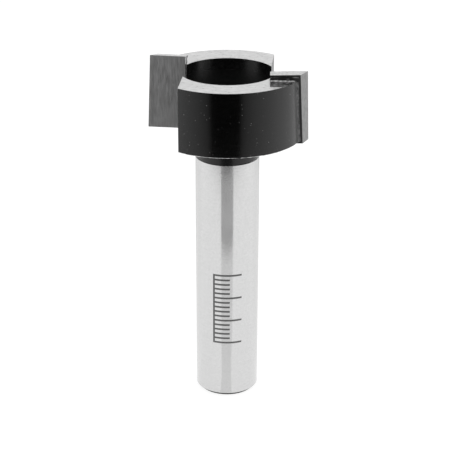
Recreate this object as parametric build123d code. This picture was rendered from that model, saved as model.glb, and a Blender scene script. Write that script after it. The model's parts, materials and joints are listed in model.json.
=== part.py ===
from build123d import *
import os
from math import asin, atan2, cos, degrees, radians, sin, sqrt, tan

# Mortise router bit with two brazed carbide tips, standing on the end of its shank.
# Millimetres. +Z runs up the axis to the cutting end, and the origin is the centre of the
# shank's end face. The rake faces of the tips lie along X. The right-hand tip is on +X and
# faces +Y, and the left-hand tip is the same tip turned half a turn about Z.

# Shank and neck, in one piece with the body
SHANK_DIAMETER = 12.7
SHANK_LENGTH = 51.0            # the ground part, from the end face to the neck
END_CHAMFER_LENGTH = 0.75      # along the axis
END_CHAMFER_DEPTH = 0.8        # across the axis
NECK_UNDERSIZE = 0.2           # on the radius, so that the grinding wheel runs clear
NECK_LENGTH = 4.6
NECK_FILLET = 1.0

# Cup-shaped body
CUTTING_DIAMETER = 32.4        # circle that the tips' outer edges cut
BODY_CLEARANCE = 1.4           # from that circle in to the body's wall
BODY_HEIGHT = 12.75
BODY_EDGE = 0.12               # chamfer round the lower rim
CUP_DIAMETER = 18.5
CUP_DEPTH = 9.5
CUP_FILLET = 0.8
CUP_EDGE = 0.15                # chamfer round the mouth

# Gullets: one flat on each side, milled through the full height
FLAT_STEP = 0.37               # from the seat's inner wall in to the flat, at half height
FLAT_ANGLE = 2.8               # how far the flat opens away from the tip, in degrees

# Carbide tips
TIP_WIDTH = 7.2                # from the cutting edge to the inner end
TIP_HEIGHT = 14.4
TIP_THICKNESS = 1.9
TIP_PROUD = 1.6                # outer corner above the ring face
TIP_INNER_CHAMFER = 0.2
RAKE_OFFSET = 3.77             # rake face ahead of the axis line, at half the tip's height
SHEAR_ANGLE = 6.6              # the cutting end lags, in degrees
RELIEF_ANGLE = 20.0            # of the outer face, from the cutting circle's tangent

# Seats and braze
BRAZE_GAP = 0.1                # round the back and the inner end of a tip
BEAD_LEG = 0.45                # fillet of braze on the pocket floor and the outer wall
BEAD_SAG = 0.1                 # how hollow the fillet's face froze
BEAD_ROOT = 0.15               # how far a bead's section starts inside what it joins
POCKET_DEPTH = 0.12            # step left below the ring face behind each tip
POCKET_LENGTH = 3.5            # back from the seat
POCKET_MARGIN = 0.16           # from the seat's inner wall out to the step, at the ring face

# Room that a cutting tool needs past the work
CLEAR = 5.0

shank_radius = SHANK_DIAMETER / 2
neck_radius = shank_radius - NECK_UNDERSIZE
cutting_radius = CUTTING_DIAMETER / 2
body_radius = cutting_radius - BODY_CLEARANCE
cup_radius = CUP_DIAMETER / 2
body_bottom = SHANK_LENGTH + NECK_LENGTH
ring_face = body_bottom + BODY_HEIGHT
cup_floor = ring_face - CUP_DEPTH

# The rake plane leans back by the shear angle. The plate also leans in that plane, so that
# both ends of its straight cutting edge lie on the cutting circle.
edge_lag = TIP_HEIGHT * sin(radians(SHEAR_ANGLE)) / 2
edge_rise = TIP_HEIGHT * cos(radians(SHEAR_ANGLE)) / 2
edge_y_top = -(RAKE_OFFSET + edge_lag)
edge_y_bottom = -(RAKE_OFFSET - edge_lag)
edge_x_top = sqrt(cutting_radius**2 - edge_y_top**2)
edge_x_bottom = sqrt(cutting_radius**2 - edge_y_bottom**2)
plate_lean = atan2(edge_x_bottom - edge_x_top, TIP_HEIGHT)
edge_middle = Vector(
    (edge_x_top + edge_x_bottom) / 2,
    -RAKE_OFFSET,
    ring_face + TIP_PROUD - edge_rise,
)
along_shear = Vector(0, -sin(radians(SHEAR_ANGLE)), cos(radians(SHEAR_ANGLE)))
across = Vector(1, 0, 0) * cos(plate_lean) + along_shear * sin(plate_lean)
into_tip = Vector(0, -cos(radians(SHEAR_ANGLE)), -sin(radians(SHEAR_ANGLE)))

# Where the seat's inner wall comes, and the flat and the step that follow it
wall_inset = TIP_WIDTH + BRAZE_GAP
wall_lean = (ring_face - edge_middle.Z) * tan(plate_lean)
flat_x = edge_middle.X - wall_inset - FLAT_STEP
flat_distance = flat_x * cos(radians(FLAT_ANGLE)) + RAKE_OFFSET * sin(radians(FLAT_ANGLE))
pocket_inner = edge_middle.X - wall_inset - wall_lean + POCKET_MARGIN

# Plate frame: x outwards across the rake face, y up it, z from the rake face to the back,
# with its origin at the middle of the cutting edge
plate = Plane(origin=edge_middle, x_dir=across, z_dir=into_tip)


def corner(face, radius, height):
    """The vertex of a half section nearest to a radius and a height."""
    return face.vertices().sort_by_distance((radius, 0, height))[0]


def turned_blank():
    """Body, neck and shank as they come off the lathe, from one bar."""
    outline = Polyline(
        (0, 0),
        (shank_radius - END_CHAMFER_DEPTH, 0),
        (shank_radius, END_CHAMFER_LENGTH),
        (shank_radius, SHANK_LENGTH),
        (neck_radius, SHANK_LENGTH),
        (neck_radius, body_bottom),
        (body_radius - BODY_EDGE, body_bottom),
        (body_radius, body_bottom + BODY_EDGE),
        (body_radius, ring_face),
        (cup_radius + CUP_EDGE, ring_face),
        (cup_radius, ring_face - CUP_EDGE),
        (cup_radius, cup_floor),
        (0, cup_floor),
        close=True,
    )
    section = make_face(Plane.XZ * outline)
    section = fillet(corner(section, neck_radius, body_bottom), NECK_FILLET)
    section = fillet(corner(section, cup_radius, cup_floor), CUP_FILLET)
    return revolve(section, axis=Axis.Z)


def seat_block(low):
    """The space for the right-hand tip and its braze, up from a height in the plate frame."""
    width = TIP_WIDTH + BRAZE_GAP + CLEAR
    height = TIP_HEIGHT / 2 + CLEAR - low
    depth = TIP_THICKNESS + 2 * BRAZE_GAP
    centre = Location((CLEAR - width / 2, low + height / 2, TIP_THICKNESS / 2))
    return plate * centre * Box(width, height, depth)


def gullet():
    """What the milling cutter takes away ahead of the right-hand tip's rake plane."""
    reach = 2 * body_radius
    flat_frame = Plane.XY.offset(body_bottom - CLEAR).rotated((0, 0, -FLAT_ANGLE))
    height = BODY_HEIGHT + 2 * CLEAR
    side = flat_frame * Pos(flat_distance + reach / 2, 0, height / 2) * Box(reach, 2 * reach, height)
    return split(side, bisect_by=plate, keep=Keep.BOTTOM)


def seat():
    """The recess that holds the right-hand tip, milled through the full height."""
    return seat_block(-TIP_HEIGHT / 2 - CLEAR)


def pocket():
    """The shallow step behind the right-hand seat, just below the ring face."""
    seat_back = edge_y_top - TIP_THICKNESS - BRAZE_GAP
    length = POCKET_LENGTH + TIP_THICKNESS
    middle_y = seat_back - POCKET_LENGTH + length / 2
    width = body_radius + CLEAR - pocket_inner
    floor = ring_face - POCKET_DEPTH
    return Pos(pocket_inner + width / 2, middle_y, floor + CLEAR / 2) * Box(width, length, CLEAR)


def plate_end(height, edge_y):
    """Section of the tip at one end, with its outer face relieved from the cutting circle."""
    tangent = degrees(asin(-edge_y / cutting_radius))
    inset = TIP_THICKNESS * tan(radians(RELIEF_ANGLE + tangent))
    points = Polyline(
        (0, 0),
        (-TIP_WIDTH + TIP_INNER_CHAMFER, 0),
        (-TIP_WIDTH, -TIP_INNER_CHAMFER),
        (-TIP_WIDTH, -TIP_THICKNESS),
        (-inset, -TIP_THICKNESS),
        close=True,
    )
    end_frame = Plane(
        origin=plate.origin + plate.y_dir * height,
        x_dir=plate.x_dir,
        z_dir=plate.y_dir,
    )
    return make_face(end_frame * points)


def carbide_tip():
    """The right-hand tip: a sintered plate with its outer face ground after brazing."""
    bottom = plate_end(-TIP_HEIGHT / 2, edge_y_bottom)
    top = plate_end(TIP_HEIGHT / 2, edge_y_top)
    return loft([bottom, top], ruled=True)


def bead_section(frame, start, end, root):
    """Section of a braze fillet: a hollow face from start to end, closed inside what it joins."""
    outline = SagittaArc(start, end, BEAD_SAG) + Polyline(end, *root, start)
    return make_face(frame * outline)


def ring_bead():
    """Fillet of braze along the foot of the tip's back, on the pocket floor."""
    floor = ring_face - POCKET_DEPTH
    rise = floor - plate.origin.Z
    foot_y = plate.origin.Y - (TIP_THICKNESS + rise * sin(radians(SHEAR_ANGLE))) / cos(radians(SHEAR_ANGLE))
    up_tip = (foot_y, floor + BEAD_LEG)
    along_floor = (foot_y - BEAD_LEG, floor)
    root = [
        (foot_y - BEAD_LEG, floor - BEAD_ROOT),
        (foot_y + BEAD_ROOT, floor - BEAD_ROOT),
        (foot_y + BEAD_ROOT, floor + BEAD_LEG),
    ]
    inner = edge_x_top - TIP_WIDTH
    outer = sqrt(body_radius**2 - foot_y**2)
    return extrude(bead_section(Plane.YZ.offset(inner), up_tip, along_floor, root), outer - inner)


def wall_bead_section(height):
    """Fillet of braze between the tip's back and the body's outer wall, at one height."""
    rise = height - plate.origin.Z
    back_y = plate.origin.Y - (TIP_THICKNESS + rise * sin(radians(SHEAR_ANGLE))) / cos(radians(SHEAR_ANGLE))
    turn = asin(-back_y / body_radius)
    wall_x = body_radius * cos(turn)
    along_wall = (wall_x - BEAD_LEG * sin(turn), back_y - BEAD_LEG * cos(turn))
    out_tip = (wall_x + BEAD_LEG, back_y)
    root = [
        (wall_x + BEAD_LEG, back_y + BEAD_ROOT),
        (wall_x - BEAD_ROOT, back_y + BEAD_ROOT),
        (along_wall[0] - BEAD_ROOT, along_wall[1]),
    ]
    return bead_section(Plane.XY.offset(height), along_wall, out_tip, root)


def wall_bead():
    """The upright fillet of braze, over the full height of the body's wall."""
    low = wall_bead_section(body_bottom + BODY_EDGE)
    high = wall_bead_section(ring_face - POCKET_DEPTH)
    return loft([low, high], ruled=True)


def braze_film():
    """The thin layer of braze that fills the seat behind and inside the tip."""
    return blank & seat_block(-TIP_HEIGHT / 2)


def opposite(shape):
    """The same shape on the left-hand side, half a turn about the axis."""
    return shape.rotate(Axis.Z, 180)


blank = turned_blank() - gullet() - pocket()
blank = blank - opposite(gullet()) - opposite(pocket())
cutter_body = blank - seat() - opposite(seat())

tip_right = carbide_tip()
seam_right = braze_film() + ring_bead() + wall_bead() - tip_right - cutter_body

os.makedirs("parts", exist_ok=True)
export_step(cutter_body, "parts/cutter_body.step")
export_step(tip_right, "parts/carbide_tip_right.step")
export_step(opposite(tip_right), "parts/carbide_tip_left.step")
export_step(seam_right, "parts/braze_seam_right.step")
export_step(opposite(seam_right), "parts/braze_seam_left.step")
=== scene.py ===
import json
import math

import bmesh
import bpy
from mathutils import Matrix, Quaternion, Vector, noise


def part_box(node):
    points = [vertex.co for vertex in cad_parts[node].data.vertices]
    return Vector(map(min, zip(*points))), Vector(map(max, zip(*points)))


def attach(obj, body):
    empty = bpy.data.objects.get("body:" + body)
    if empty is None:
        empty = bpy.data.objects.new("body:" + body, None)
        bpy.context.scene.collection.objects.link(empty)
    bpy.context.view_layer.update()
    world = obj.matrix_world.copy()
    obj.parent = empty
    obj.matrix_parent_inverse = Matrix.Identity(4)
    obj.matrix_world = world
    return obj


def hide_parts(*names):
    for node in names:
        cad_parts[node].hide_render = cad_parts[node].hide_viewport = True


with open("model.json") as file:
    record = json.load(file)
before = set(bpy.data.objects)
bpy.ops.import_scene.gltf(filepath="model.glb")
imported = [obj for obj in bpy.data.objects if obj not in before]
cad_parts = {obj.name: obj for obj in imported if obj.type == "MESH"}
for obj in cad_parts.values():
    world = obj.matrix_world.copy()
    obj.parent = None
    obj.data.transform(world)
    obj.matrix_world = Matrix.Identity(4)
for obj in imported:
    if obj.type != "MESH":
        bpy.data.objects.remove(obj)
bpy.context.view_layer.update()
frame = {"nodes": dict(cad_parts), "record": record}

# Cutter body. One bar of tool steel, turned to a shank, a neck and a cup-shaped head, and milled
# flat on two sides. The whole was blacked, and then the shank and the rim were ground bright.
# Tumbling eased every edge a little and wore the lower rim bare.
MM = 0.001
SLACK = 0.02 * MM
shank_mount = frame["record"]["mounts"][0]
shank_radius = shank_mount["dims"]["r_mm"] * MM
ground_length = shank_mount["dims"]["length_mm"] * MM
ground_top = shank_mount["pos_m"][2] + ground_length / 2
ground_bottom = ground_top - ground_length
rim_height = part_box("cutter_body")[1].z
head_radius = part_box("cutter_body")[1].y
HEAD_HEIGHT = 12.75 * MM
LOWER_EDGE = 0.12 * MM
CUP_RADIUS = 9.25 * MM
CUP_DEPTH = 9.5 * MM
CUP_EDGE = 0.15 * MM
FLAT_INSET = 1.0 * MM
POCKET_DEPTH = 0.12 * MM
BODY_EASE = 0.05 * MM
head_bottom = rim_height - HEAD_HEIGHT
pocket_floor = rim_height - POCKET_DEPTH

METAL = 1.0
COAT = 0.0
OFF = 0.0
ON = 1.0
NOISE_LOW = 0.3
NOISE_HIGH = 0.7
DETAIL = 3.0
RICH_DETAIL = 4.0


def finish(name, metallic):
    """A new material with its node tree and its shader, for bare metal or for a coat."""
    material = bpy.data.materials.new(name)
    material.use_nodes = True
    shader = material.node_tree.nodes["Principled BSDF"]
    shader.inputs["Metallic"].default_value = metallic
    return material, material.node_tree, shader


def feed(tree, socket, value):
    """Give a socket a number, or link a value to it."""
    if isinstance(value, (int, float)):
        socket.default_value = value
    else:
        tree.links.new(value, socket)


def worked(tree, operation, first, second=0.0):
    """One step of arithmetic on the values of a surface."""
    step = tree.nodes.new("ShaderNodeMath")
    step.operation = operation
    feed(tree, step.inputs[0], first)
    feed(tree, step.inputs[1], second)
    return step.outputs["Value"]


def spread(tree, value, between, start=NOISE_LOW, end=NOISE_HIGH):
    """A value spread between two others, as it goes from its start to its end."""
    change = tree.nodes.new("ShaderNodeMapRange")
    change.inputs["From Min"].default_value = start
    change.inputs["From Max"].default_value = end
    feed(tree, change.inputs["To Min"], between[0])
    feed(tree, change.inputs["To Max"], between[1])
    tree.links.new(value, change.inputs["Value"])
    return change.outputs["Result"]


def marked(tree, mask, plain, mark):
    """A plain value, with another in its place where a mask is 1."""
    return spread(tree, mask, (plain, mark), OFF, ON)


def place_on(tree):
    """Where a point of a surface lies, as outputs X, Y and Z in metres."""
    place = tree.nodes.new("ShaderNodeTexCoord")
    axes = tree.nodes.new("ShaderNodeSeparateXYZ")
    tree.links.new(place.outputs["Object"], axes.inputs["Vector"])
    return axes.outputs


def grain(tree, size, detail=DETAIL):
    """Noise from 0 to 1 whose grains have a size along X, Y and Z."""
    place = tree.nodes.new("ShaderNodeTexCoord")
    scale = tree.nodes.new("ShaderNodeMapping")
    scale.inputs["Scale"].default_value = [1 / length for length in size]
    speckle = tree.nodes.new("ShaderNodeTexNoise")
    speckle.inputs["Scale"].default_value = 1
    speckle.inputs["Detail"].default_value = detail
    tree.links.new(place.outputs["Object"], scale.inputs["Vector"])
    tree.links.new(scale.outputs["Vector"], speckle.inputs["Vector"])
    return speckle.outputs["Fac"]


def flecks(tree, spacing, width, share):
    """Ragged flecks of uneven strength, up to 1, scattered over a surface that is 0."""
    place = tree.nodes.new("ShaderNodeTexCoord")
    cells = tree.nodes.new("ShaderNodeTexVoronoi")
    cells.inputs["Scale"].default_value = 1 / spacing
    lot = tree.nodes.new("ShaderNodeSeparateColor")
    tree.links.new(place.outputs["Object"], cells.inputs["Vector"])
    tree.links.new(cells.outputs["Color"], lot.inputs["Color"])
    radius = width / spacing / 2
    ragged = worked(tree, "MULTIPLY", grain(tree, [width / 2] * 3), 2 * radius)
    distance = worked(tree, "ADD", cells.outputs["Distance"], ragged)
    near = spread(tree, distance, (ON, OFF), radius, 2 * radius)
    drawn = worked(tree, "LESS_THAN", lot.outputs["Red"], share)
    strength = worked(tree, "MULTIPLY", drawn, lot.outputs["Green"])
    return worked(tree, "MULTIPLY", near, strength)


def dressed(tree, shader, tone, roughness):
    """Give a shader its grey tone, and its roughness as a number or a value."""
    tree.links.new(tone, shader.inputs["Base Color"])
    feed(tree, shader.inputs["Roughness"], roughness)


def roughened(tree, shader, value, height):
    """Bump of a height in metres on a shader."""
    bump = tree.nodes.new("ShaderNodeBump")
    bump.inputs["Distance"].default_value = height
    tree.links.new(value, bump.inputs["Height"])
    tree.links.new(bump.outputs["Normal"], shader.inputs["Normal"])


# Laser-etched depth scale on the shank, without figures: a spine and a tick for each
# millimetre, with a full-width tick for every fifth.
SCALE_TURN = 4.0
SCALE_LOW = 12.5 * MM
SCALE_PITCH = 1.0 * MM
SCALE_TICKS = 15
TICKS_TO_LONG = 5
SCALE_HALF_WIDTH = 2.9 * MM
SHORT_END = 0.4 * MM
LINE_WIDTH = 0.4 * MM
HALF_PITCH = 0.5


def within(tree, value, middle, half_width):
    """1 where a value lies within a half width of a middle, and 0 elsewhere."""
    distance = worked(tree, "ABSOLUTE", worked(tree, "SUBTRACT", value, middle))
    return worked(tree, "LESS_THAN", distance, half_width)


def ticks(tree, height, pitch):
    """1 on lines that repeat up the shank, and 0 between them."""
    count = worked(tree, "DIVIDE", worked(tree, "SUBTRACT", height, SCALE_LOW), pitch)
    from_line = worked(tree, "PINGPONG", count, HALF_PITCH)
    return worked(tree, "LESS_THAN", from_line, LINE_WIDTH / pitch / 2)


def etched_scale(tree):
    """1 in the etched lines of the scale, and 0 on the bare shank."""
    place = place_on(tree)
    ahead = worked(tree, "SUBTRACT", 0.0, place["Y"])
    turn = worked(tree, "ARCTAN2", place["X"], ahead)
    round_shank = worked(tree, "MULTIPLY", turn, shank_radius)
    middle = math.radians(SCALE_TURN) * shank_radius
    spine = within(tree, round_shank, middle - SCALE_HALF_WIDTH, LINE_WIDTH / 2)
    short_middle = middle + (SHORT_END - SCALE_HALF_WIDTH) / 2
    short_reach = within(tree, round_shank, short_middle, (SHORT_END + SCALE_HALF_WIDTH) / 2)
    short = worked(tree, "MULTIPLY", ticks(tree, place["Z"], SCALE_PITCH), short_reach)
    full_reach = within(tree, round_shank, middle, SCALE_HALF_WIDTH)
    every_fifth = ticks(tree, place["Z"], SCALE_PITCH * TICKS_TO_LONG)
    full = worked(tree, "MULTIPLY", every_fifth, full_reach)
    lines = worked(tree, "MAXIMUM", spine, worked(tree, "MAXIMUM", short, full))
    half_height = SCALE_TICKS * SCALE_PITCH / 2
    band = within(tree, place["Z"], SCALE_LOW + half_height, half_height + LINE_WIDTH / 2)
    return worked(tree, "MULTIPLY", lines, band)


# Ground steel of the shank: fine lines round it, a faint peel, and the matt etched scale
GRIND_LINES = (3.0 * MM, 3.0 * MM, 0.12 * MM)
GRIND_TONE = (0.61, 0.645)
GRIND_ROUGHNESS = (0.13, 0.16)
GRIND_STRETCH = 0.4
GRIND_TURN = 0.25
PEEL = (0.4 * MM, 0.4 * MM, 0.4 * MM)
PEEL_TONE = (0.965, 1.035)
PEEL_HEIGHT = 0.005 * MM
ETCHED_TONE = 0.15
ETCHED_ROUGHNESS = 0.5
ground_steel, tree, shader = finish("ground_steel", METAL)
shader.inputs["Anisotropic"].default_value = GRIND_STRETCH
shader.inputs["Anisotropic Rotation"].default_value = GRIND_TURN
grind = grain(tree, GRIND_LINES)
peel = grain(tree, PEEL)
etched = etched_scale(tree)
bright = worked(tree, "MULTIPLY", spread(tree, grind, GRIND_TONE), spread(tree, peel, PEEL_TONE))
tone = marked(tree, etched, bright, ETCHED_TONE)
roughness = marked(tree, etched, spread(tree, grind, GRIND_ROUGHNESS), ETCHED_ROUGHNESS)
dressed(tree, shader, tone, roughness)
roughened(tree, shader, peel, PEEL_HEIGHT)

# End face and its chamfer, which the grinding wheel left black and dull, and which are darker
# still as painted shade
END_LINES = (2.0 * MM, 2.0 * MM, 0.1 * MM)
# Near-black tone, low IOR and low specular level: painted shade for the contact shadow that the
# glowing floor doesn't cast on the chamfer
END_COAT_AND_SHADE_TONE = (0.0, 0.006)
END_COAT_SHADE_IOR = 1.2
END_COAT_SHADE_SHINE = 0.2
END_COAT_ROUGHNESS = 0.4
end_coat_and_painted_shade, tree, shader = finish("end_coat_and_painted_shade", COAT)
shader.inputs["IOR"].default_value = END_COAT_SHADE_IOR
shader.inputs["Specular IOR Level"].default_value = END_COAT_SHADE_SHINE
dressed(tree, shader, spread(tree, grain(tree, END_LINES), END_COAT_AND_SHADE_TONE), END_COAT_ROUGHNESS)

# Rim face, ground flat after blacking: a cloudy satin with a few dark pits
RIM_MOTTLE = (1.0 * MM, 0.5 * MM, 1.0 * MM)
RIM_TONE = (0.5, 0.72)
RIM_ROUGHNESS = (0.26, 0.44)
RIM_HEIGHT = 0.003 * MM
PIT_SPACING = 0.8 * MM
PIT_WIDTH = 0.36 * MM
PIT_SHARE = 0.35
PIT_TONE = 0.05
rim_steel, tree, shader = finish("rim_steel", METAL)
mottle = grain(tree, RIM_MOTTLE, RICH_DETAIL)
pits = flecks(tree, PIT_SPACING, PIT_WIDTH, PIT_SHARE)
tone = marked(tree, pits, spread(tree, mottle, RIM_TONE), PIT_TONE)
dressed(tree, shader, tone, spread(tree, mottle, RIM_ROUGHNESS))
roughened(tree, shader, mottle, RIM_HEIGHT)

# Black coat of the head's wall and the neck, with lathe lines under it and pale dust on it.
# It is lighter and duller on the wall right behind each tip.
COAT_LINES = (2.0 * MM, 2.0 * MM, 0.2 * MM)
COAT_ROUGHNESS = (0.13, 0.19)
COAT_PEEL = (0.5 * MM, 0.5 * MM, 0.25 * MM)
COAT_HEIGHT = 0.001 * MM
COAT_TONE = 0.0006
COAT_IOR = 1.5
DUST_SPACING = 0.55 * MM
DUST_WIDTH = 0.2 * MM
DUST_SHARE = 0.25
DUST_TONE = 0.25
SHEAR_ANGLE = 6.6
SEAT_BACK_AT_FOOT = -1.583 * MM
BEHIND_TIP_REACH = 4.0 * MM
BEHIND_TIP_FADE = 3
BEHIND_TIP_TONE = 0.08
BEHIND_TIP_ROUGHNESS = 0.5


def behind_tip_mask(tree):
    """1 on the head's wall right behind a tip, fading to 0 round it. The seats lean back."""
    place = place_on(tree)
    ahead = worked(tree, "MULTIPLY", place["Y"], worked(tree, "SIGN", place["X"]))
    lean = worked(tree, "MULTIPLY", place["Z"], math.tan(math.radians(SHEAR_ANGLE)))
    seat_back = worked(tree, "ADD", lean, SEAT_BACK_AT_FOOT)
    distance = worked(tree, "SUBTRACT", worked(tree, "SUBTRACT", 0.0, ahead), seat_back)
    near = worked(tree, "POWER", spread(tree, distance, (ON, OFF), 0.0, BEHIND_TIP_REACH), BEHIND_TIP_FADE)
    behind = worked(tree, "GREATER_THAN", distance, -SLACK)
    on_head = worked(tree, "GREATER_THAN", place["Z"], head_bottom)
    return worked(tree, "MULTIPLY", near, worked(tree, "MULTIPLY", behind, on_head))


black_coat, tree, shader = finish("black_coat", COAT)
shader.inputs["IOR"].default_value = COAT_IOR
behind_tip = behind_tip_mask(tree)
dust = flecks(tree, DUST_SPACING, DUST_WIDTH, DUST_SHARE)
tone = marked(tree, dust, marked(tree, behind_tip, COAT_TONE, BEHIND_TIP_TONE), DUST_TONE)
gloss = spread(tree, grain(tree, COAT_LINES), COAT_ROUGHNESS)
dressed(tree, shader, tone, marked(tree, behind_tip, gloss, BEHIND_TIP_ROUGHNESS))
roughened(tree, shader, grain(tree, COAT_PEEL), COAT_HEIGHT)

# The same coat over the milled flats, whose feed lines run up the head
MILLED_LINES = (0.25 * MM, 0.25 * MM, 6.0 * MM)
MILLED_ROUGHNESS = (0.12, 0.2)
MILLED_HEIGHT = 0.0006 * MM
milled_coat, tree, shader = finish("milled_coat", COAT)
shader.inputs["IOR"].default_value = COAT_IOR
lines = grain(tree, MILLED_LINES)
dust = flecks(tree, DUST_SPACING, DUST_WIDTH, DUST_SHARE)
tone = marked(tree, dust, COAT_TONE, DUST_TONE)
dressed(tree, shader, tone, spread(tree, lines, MILLED_ROUGHNESS))
roughened(tree, shader, lines, MILLED_HEIGHT)

# The same coat inside the cup, without dust, and duller the deeper the boring bar reached
CUP_GRAIN = (0.6 * MM, 0.6 * MM, 0.3 * MM)
CUP_TONE = (0.001, 0.006)
CUP_IOR = 1.35
CUP_ROUGHNESS = (0.42, 0.2)
CUP_DULL = rim_height - 5.0 * MM
CUP_BRIGHT = rim_height - 1.0 * MM
cup_coat, tree, shader = finish("cup_coat", COAT)
shader.inputs["IOR"].default_value = CUP_IOR
roughness = spread(tree, place_on(tree)["Z"], CUP_ROUGHNESS, CUP_DULL, CUP_BRIGHT)
dressed(tree, shader, spread(tree, grain(tree, CUP_GRAIN), CUP_TONE), roughness)

# Lower rim, where the coat is worn through in places
WORN_GRAIN = (0.7 * MM, 0.7 * MM, 0.7 * MM)
WORN_TONE = (0.03, 0.9)
WORN_ROUGHNESS = 0.4
bare_edge, tree, shader = finish("bare_edge", METAL)
dressed(tree, shader, spread(tree, grain(tree, WORN_GRAIN), WORN_TONE), WORN_ROUGHNESS)

# Floor of the step behind each tip, dark, with soot and flux from the brazing
SOOT = (0.45 * MM, 0.3 * MM, 0.45 * MM)
SOOT_TONE = (0.002, 0.16)
SOOT_START = 0.42
SOOT_END = 0.62
SOOT_HEIGHT = 0.02 * MM
SOOT_IOR = 1.4
SOOT_ROUGHNESS = 0.4
pocket_coat, tree, shader = finish("pocket_coat", COAT)
shader.inputs["IOR"].default_value = SOOT_IOR
soot = grain(tree, SOOT, RICH_DETAIL)
dressed(tree, shader, spread(tree, soot, SOOT_TONE, SOOT_START, SOOT_END), SOOT_ROUGHNESS)
roughened(tree, shader, soot, SOOT_HEIGHT)

SQUARELY = 0.9
PARTLY = 0.5


def looks(normal, x=0, y=0, z=0):
    """Whether a face looks squarely along a direction."""
    return normal.dot(Vector((x, y, z))) > SQUARELY


def body_finish(centre, normal):
    """The finish of a face of the body, going by its place and the way that it faces."""
    radius = math.hypot(centre.x, centre.y)
    faces_in = centre.x * normal.x + centre.y * normal.y < 0
    on_cup_edge = centre.z > rim_height - CUP_EDGE - SLACK and radius < CUP_RADIUS + CUP_EDGE
    if centre.z < ground_bottom:
        return end_coat_and_painted_shade
    if centre.z < ground_top + SLACK and radius < shank_radius + SLACK:
        return ground_steel
    if centre.z < head_bottom + LOWER_EDGE and radius > head_radius - LOWER_EDGE - SLACK:
        return bare_edge
    if centre.z > rim_height - SLACK:
        return rim_steel
    if on_cup_edge and normal.z > PARTLY:
        return rim_steel
    if centre.z > pocket_floor - SLACK and looks(normal, z=1):
        return pocket_coat
    if centre.z > rim_height - CUP_DEPTH - SLACK and radius < CUP_RADIUS + SLACK:
        if faces_in or looks(normal, z=1):
            return cup_coat
    if centre.z > head_bottom + SLACK and radius < head_radius - FLAT_INSET:
        return milled_coat
    return black_coat


MERGE = 0.001 * MM
FACET_TURN = 0.5
SHARP_TURN = 30
EASE_FACETS = 2


def made(name, shape, materials):
    """A new piece in the scene from a finished shape, with the materials of its faces."""
    mesh = bpy.data.meshes.new(name)
    shape.to_mesh(mesh)
    shape.free()
    for material in materials:
        mesh.materials.append(material)
    piece = bpy.data.objects.new(name, mesh)
    bpy.context.scene.collection.objects.link(piece)
    return piece


def eased(node, name, round_off, materials, choose):
    """A copy of a CAD node with its facets merged and its sharp edges eased by a small round."""
    shape = bmesh.new()
    shape.from_mesh(frame["nodes"][node].data)
    bmesh.ops.remove_doubles(shape, verts=shape.verts, dist=MERGE)
    flat = math.radians(FACET_TURN)
    bmesh.ops.dissolve_limit(shape, angle_limit=flat, verts=shape.verts[:], edges=shape.edges[:])
    shape.normal_update()
    for face in shape.faces:
        face.material_index = materials.index(choose(face.calc_center_median(), face.normal))
        face.smooth = True
    piece = made(name, shape, materials)
    rounding = piece.modifiers.new("eased edges", "BEVEL")
    rounding.width = round_off
    rounding.segments = EASE_FACETS
    rounding.limit_method = "ANGLE"
    rounding.angle_limit = math.radians(SHARP_TURN)
    rounding.use_clamp_overlap = False
    rounding.miter_outer = "MITER_ARC"
    weights = piece.modifiers.new("flat faces", "WEIGHTED_NORMAL")
    weights.keep_sharp = True
    seen = piece.evaluated_get(bpy.context.evaluated_depsgraph_get())
    piece.data = bpy.data.meshes.new_from_object(seen)
    piece.modifiers.clear()
    piece.data.name = name
    return piece


body_finishes = [ground_steel, end_coat_and_painted_shade, rim_steel, black_coat, milled_coat, cup_coat]
body_finishes += [bare_edge, pocket_coat]
cutter = eased("cutter_body", "cutter", BODY_EASE, body_finishes, body_finish)
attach(cutter, "root")
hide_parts("cutter_body")

# Carbide tips. Two plates of sintered tungsten carbide, brazed into their seats and blacked with
# the body. The rake face, the cutting end and the outer relief were ground bright afterwards.
TIP_EASE = 0.03 * MM

# Rake face: streaks of the grinding wheel, soft clouds and a few pale smudges
RAKE_STREAKS = (0.3 * MM, 0.3 * MM, 5.0 * MM)
RAKE_CLOUDS = (2.5 * MM, 2.5 * MM, 3.5 * MM)
CLOUD_DETAIL = 2.0
SMUDGE_SPACING = 1.6 * MM
SMUDGE_WIDTH = 0.8 * MM
SMUDGE_SHARE = 0.35
STREAK_TONE = (0.24, 0.32)
CLOUD_TONE = (0.25, 0.32)
SMUDGE_TONE = 0.8
RAKE_ROUGHNESS = (0.3, 0.38)
RAKE_HEIGHT = 0.001 * MM
rake_carbide, tree, shader = finish("rake_carbide", METAL)
streak = grain(tree, RAKE_STREAKS)
cloud = grain(tree, RAKE_CLOUDS, CLOUD_DETAIL)
smudges = flecks(tree, SMUDGE_SPACING, SMUDGE_WIDTH, SMUDGE_SHARE)
ground = worked(tree, "ADD", spread(tree, streak, STREAK_TONE), spread(tree, cloud, CLOUD_TONE))
tone = marked(tree, smudges, ground, SMUDGE_TONE)
dressed(tree, shader, tone, spread(tree, streak, RAKE_ROUGHNESS))
roughened(tree, shader, streak, RAKE_HEIGHT)

# Cutting end, the brightest ground face, and outer relief, a coarser grind
END_GRAIN = (0.5 * MM, 0.3 * MM, 0.5 * MM)
END_TONE = (0.46, 0.7)
RELIEF_GRAIN = (0.5 * MM, 0.5 * MM, 0.8 * MM)
RELIEF_TONE = (0.23, 0.31)
GROUND_ROUGHNESS = 0.35
end_carbide, tree, shader = finish("end_carbide", METAL)
dressed(tree, shader, spread(tree, grain(tree, END_GRAIN), END_TONE), GROUND_ROUGHNESS)
relief_carbide, tree, shader = finish("relief_carbide", METAL)
dressed(tree, shader, spread(tree, grain(tree, RELIEF_GRAIN), RELIEF_TONE), GROUND_ROUGHNESS)

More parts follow.
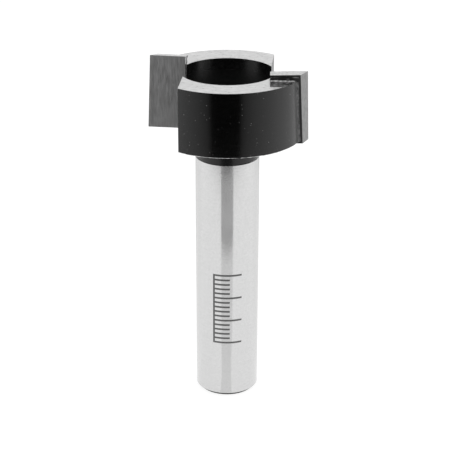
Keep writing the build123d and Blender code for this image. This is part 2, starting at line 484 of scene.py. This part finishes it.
# Back, inner end and foot, still blacked, with thin smears of braze above the rim
SMEAR = (1.5 * MM, 0.8 * MM, 0.35 * MM)
PLAIN_BACK_TONE = 0.01
SMEAR_TONE = 0.35
SMEAR_START = 0.56
SMEAR_END = 0.7
SMEAR_LOW = rim_height + 0.2 * MM
SMEAR_FULL = rim_height + 0.6 * MM
BACK_IOR = 1.45
BACK_ROUGHNESS = 0.3
coated_carbide, tree, shader = finish("coated_carbide", COAT)
shader.inputs["IOR"].default_value = BACK_IOR
above_rim = spread(tree, place_on(tree)["Z"], (OFF, ON), SMEAR_LOW, SMEAR_FULL)
smear = spread(tree, grain(tree, SMEAR, RICH_DETAIL), (OFF, ON), SMEAR_START, SMEAR_END)
smear = worked(tree, "MULTIPLY", smear, above_rim)
dressed(tree, shader, marked(tree, smear, PLAIN_BACK_TONE, SMEAR_TONE), BACK_ROUGHNESS)


def tip_finish(way):
    """How the finish of a face is chosen on the tip that points one way along X."""
    def choose(centre, normal):
        if looks(normal, z=1):
            return end_carbide
        if looks(normal, z=-1) or looks(normal, y=-way) or looks(normal, x=-way):
            return coated_carbide
        if normal.x * way > PARTLY:
            return relief_carbide
        return rake_carbide
    return choose


SIDES = {"right": 1, "left": -1}
tip_finishes = [rake_carbide, end_carbide, relief_carbide, coated_carbide]
for side, way in SIDES.items():
    tip = eased("carbide_tip_" + side, "tip_" + side, TIP_EASE, tip_finishes, tip_finish(way))
    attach(tip, "root")
    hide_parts("carbide_tip_" + side)

# Braze. Silver solder that ran behind each plate and round its inner end, and froze in a small
# fillet. It was blacked with the body, and shows bare along the rim, where it was brushed.
BEAD_STEP = 0.3 * MM
BEAD_WAVE = 0.9 * MM
BEAD_RIPPLE = 0.03 * MM
BEAD_CREASE = 40
FLOW_ROUNDS = 3
FLOW_SHARE = 0.5
BARE_REACH = 13.0 * MM
BARE_GRAIN = (0.7 * MM, 0.5 * MM, 0.5 * MM)
BARE_TONE = (0.08, 0.55)
BARE_ROUGHNESS = (0.5, 0.3)
BLACKED_GRAIN = (0.35 * MM, 0.35 * MM, 0.6 * MM)
BLACKED_TONE = (0.01, 0.11)
BLACKED_ROUGHNESS = (0.3, 0.45)

bare_braze, tree, shader = finish("bare_braze", METAL)
blotch = grain(tree, BARE_GRAIN)
dressed(tree, shader, spread(tree, blotch, BARE_TONE), spread(tree, blotch, BARE_ROUGHNESS))

blacked_braze, tree, shader = finish("blacked_braze", COAT)
blotch = grain(tree, BLACKED_GRAIN)
dressed(tree, shader, spread(tree, blotch, BLACKED_TONE), spread(tree, blotch, BLACKED_ROUGHNESS))


def frozen_braze(node, name):
    """A copy of a braze seam with the uneven face that solder freezes with."""
    shape = bmesh.new()
    shape.from_mesh(frame["nodes"][node].data)
    bmesh.ops.remove_doubles(shape, verts=shape.verts, dist=MERGE)
    low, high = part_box(node)
    for axis in (Vector((1, 0, 0)), Vector((0, 1, 0)), Vector((0, 0, 1))):
        cuts = int((high - low).dot(axis) / BEAD_STEP)
        for cut in range(1, cuts):
            at = low + axis * BEAD_STEP * cut
            whole = shape.verts[:] + shape.edges[:] + shape.faces[:]
            bmesh.ops.bisect_plane(shape, geom=whole, plane_co=at, plane_no=axis)
    bmesh.ops.triangulate(shape, faces=shape.faces)
    proud = [spot for spot in shape.verts
             if spot.co.z > pocket_floor + SLACK or spot.co.xy.length > head_radius + SLACK]
    for _ in range(FLOW_ROUNDS):
        bmesh.ops.smooth_vert(shape, verts=proud, factor=FLOW_SHARE,
                              use_axis_x=True, use_axis_y=True, use_axis_z=True)
    shape.normal_update()
    for spot in shape.verts:
        spot.co += spot.normal * noise.noise(spot.co / BEAD_WAVE) * BEAD_RIPPLE
    shape.normal_update()
    finishes = [bare_braze, blacked_braze]
    for face in shape.faces:
        centre = face.calc_center_median()
        on_rim = centre.z > pocket_floor - SLACK and abs(centre.x) < BARE_REACH
        face.material_index = finishes.index(bare_braze if on_rim else blacked_braze)
        face.smooth = True
    piece = made(name, shape, finishes)
    piece.data.set_sharp_from_angle(angle=math.radians(BEAD_CREASE))
    return piece


for side in SIDES:
    seam = frozen_braze("braze_seam_" + side, "braze_" + side)
    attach(seam, "root")
    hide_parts("braze_seam_" + side)

# Floor. A plain pale sheet that glows a little, so that it comes out as white as the surround
# and the bit throws only a faint shade round its foot.
WHITE = (1, 1, 1, 1)
FLOOR_HALF = 2.0
FLOOR_CORNERS = [(-1, -1), (1, -1), (1, 1), (-1, 1)]
FLOOR_TONE = 0.15
FLOOR_ROUGHNESS = 0.8
FLOOR_GLOW = 0.9
pale, tree, shader = finish("pale_floor", COAT)
shader.inputs["Base Color"].default_value = (FLOOR_TONE, FLOOR_TONE, FLOOR_TONE, 1)
shader.inputs["Roughness"].default_value = FLOOR_ROUGHNESS
shader.inputs["Emission Color"].default_value = WHITE
shader.inputs["Emission Strength"].default_value = FLOOR_GLOW
sheet = bmesh.new()
sheet.faces.new([sheet.verts.new((x * FLOOR_HALF, y * FLOOR_HALF, 0)) for x, y in FLOOR_CORNERS])
floor = made("floor", sheet, [pale])

# Shade cards. Two studio cards that show only in gloss: a black one on the floor in front, which
# stands up at its far end, and a grey one behind. A strip of even shade runs out along each and
# widens away from the bit. Beside it the card fades out, or is clear from the strip's edge on.
BLACK = (0, 0, 0, 1)
CAMERA_AZIMUTH = 2.47
SIDE_REACH = 60.0
FADE_POWER = 0.6
SHADE_STEP = 2.5
EDGE_STEP = 0.1
CARD_HEIGHT = 0.5 * MM
FRONT = 0
REAR = 180
FRONT_VEIL = 0.0
REAR_VEIL = 0.14

# Left and right edge of the strip in degrees, where each part of the bit mirrors it
FOOT_STRIP = (-14.0, 10.0)
LOW_STRIP = (-16.0, 12.7)
MIDDLE_STRIP = (-20.0, 19.0)
HIGH_STRIP = (-21.0, 20.5)
NECK_STRIP = (-21.4, 21.0)
WALL_STRIP = (-24.0, 18.4)

# Distance and height in millimetres, the strip's edges, the shade in it, and the shade beside it
FRONT_LINES = [
    (7, 0, FOOT_STRIP, 0.14, 0.0),
    (20, 0, LOW_STRIP, 0.17, 0.0),
    (60, 0, MIDDLE_STRIP, 0.22, 0.0),
    (84, 0, HIGH_STRIP, 0.08, 0.0),
    (87, 0, HIGH_STRIP, 0.76, 0.0),
    (98, 0, NECK_STRIP, 0.76, 0.0),
    (102, 0, NECK_STRIP, 0.3, 0.0),
    (110, 0, NECK_STRIP, 0.34, 0.0),
    (116, 0, NECK_STRIP, 0.6, 0.0),
    (131, 0, NECK_STRIP, 0.6, 0.0),
    (134, 0, NECK_STRIP, 0.0, 0.0),
    (143, 0, NECK_STRIP, 0.0, 0.0),
    (145, 0, WALL_STRIP, 0.95, 0.5),
    (152, 0, WALL_STRIP, 1.0, 0.9),
    (480, 0, WALL_STRIP, 1.0, 0.9),
    (480, 100, WALL_STRIP, 0.9, 0.8),
    (480, 150, WALL_STRIP, 0.8, 0.6),
    (480, 215, WALL_STRIP, 0.0, 0.0),
]
REAR_LINES = [
    (7, 0, FOOT_STRIP, 0.3, 0.0),
    (20, 0, LOW_STRIP, 0.35, 0.0),
    (60, 0, MIDDLE_STRIP, 0.45, 0.0),
    (120, 0, NECK_STRIP, 0.45, 0.0),
    (140, 0, WALL_STRIP, 0.4, 0.3),
    (480, 0, WALL_STRIP, 0.5, 0.4),
]
CARDS = [(FRONT, FRONT_LINES, FRONT_VEIL), (REAR, REAR_LINES, REAR_VEIL)]

steps = int(SIDE_REACH / SHADE_STEP)
beside_strip = [0.0, EDGE_STEP] + [SHADE_STEP * step for step in range(1, steps + 1)]
card = bmesh.new()
shade = card.verts.layers.float.new("shade")


def card_column(facing, card_lines, veil, way, beside):
    """The corners of a card at one distance in degrees beside its strip, from near to far."""
    reached = beside / SIDE_REACH
    column = []
    for distance, height, (left_edge, right_edge), strip_shade, side_shade in card_lines:
        turn = right_edge + beside if way == SIDES["right"] else left_edge - beside
        angle = math.radians(CAMERA_AZIMUTH + facing + turn)
        spot = Vector((math.sin(angle), -math.cos(angle), 0)) * distance * MM
        spot.z = CARD_HEIGHT + height * MM
        corner = card.verts.new(spot)
        fade = max(side_shade * (1 - reached ** FADE_POWER), veil * (1 - reached))
        corner[shade] = fade if beside else strip_shade
        column.append(corner)
    return column


for facing, card_lines, veil in CARDS:
    columns = []
    for beside in reversed(beside_strip):
        columns.append(card_column(facing, card_lines, veil, SIDES["left"], beside))
    for beside in beside_strip:
        columns.append(card_column(facing, card_lines, veil, SIDES["right"], beside))
    for column, next_column in zip(columns, columns[1:]):
        for corners in zip(column, column[1:], next_column[1:], next_column):
            card.faces.new(corners)
dark, tree, shader = finish("card_black", COAT)
shader.inputs["Base Color"].default_value = BLACK
shader.inputs["Specular IOR Level"].default_value = 0
amount = tree.nodes.new("ShaderNodeAttribute")
amount.attribute_name = "shade"
tree.links.new(amount.outputs["Fac"], shader.inputs["Alpha"])
shade_cards = made("shade_cards", card, [dark])
shade_cards.visible_camera = False
shade_cards.visible_diffuse = False
shade_cards.visible_shadow = False
shade_cards.visible_transmission = False

# Light. The even white surround of a light tent, and a soft panel high on the right, which
# doesn't show in gloss.
TENT_STRENGTH = 1.0
PANEL_SIZE = 0.5
PANEL_POWER = 1.2
PANEL_PLACE = Vector((0.55, 0.1, 0.4))
PANEL_TARGET = Vector((0.1, 0, 0))
world = bpy.data.worlds.new("tent")
bpy.context.scene.world = world
world.use_nodes = True
surround = world.node_tree.nodes["Background"]
surround.inputs["Color"].default_value = WHITE
surround.inputs["Strength"].default_value = TENT_STRENGTH
panel = bpy.data.objects.new("right_panel", bpy.data.lights.new("right_panel", "AREA"))
panel.data.size = PANEL_SIZE
panel.data.energy = PANEL_POWER
panel.location = PANEL_PLACE
panel.rotation_mode = "QUATERNION"
panel.rotation_quaternion = (PANEL_PLACE - PANEL_TARGET).to_track_quat("Z", "Y")
panel.visible_glossy = False
bpy.context.scene.collection.objects.link(panel)

# Camera. A long lens about 30 cm away, almost straight in front and looking down by 23 degrees.
# It is rolled by a fifth of a degree, as it was for the photograph.
CAMERA_TARGET = Vector((0.559, 0, 34.85)) * MM
CAMERA_DISTANCE = 300.06 * MM
CAMERA_ELEVATION = 22.91
CAMERA_ROLL = 0.18
CAMERA_LENS = 115.88
CAMERA_NEAR = 10 * MM
azimuth = math.radians(CAMERA_AZIMUTH)
elevation = math.radians(CAMERA_ELEVATION)
level = Vector((math.sin(azimuth), -math.cos(azimuth), 0))
back = level * math.cos(elevation) + Vector((0, 0, math.sin(elevation)))
camera = bpy.data.objects.new("camera", bpy.data.cameras.new("camera"))
camera.data.lens = CAMERA_LENS
camera.data.clip_start = CAMERA_NEAR
camera.location = CAMERA_TARGET + back * CAMERA_DISTANCE
camera.rotation_mode = "QUATERNION"
roll = Quaternion((0, 0, 1), math.radians(CAMERA_ROLL))
camera.rotation_quaternion = back.to_track_quat("Z", "Y") @ roll
bpy.context.scene.collection.objects.link(camera)
bpy.context.scene.camera = camera
bpy.context.scene.view_settings.view_transform = "Standard"
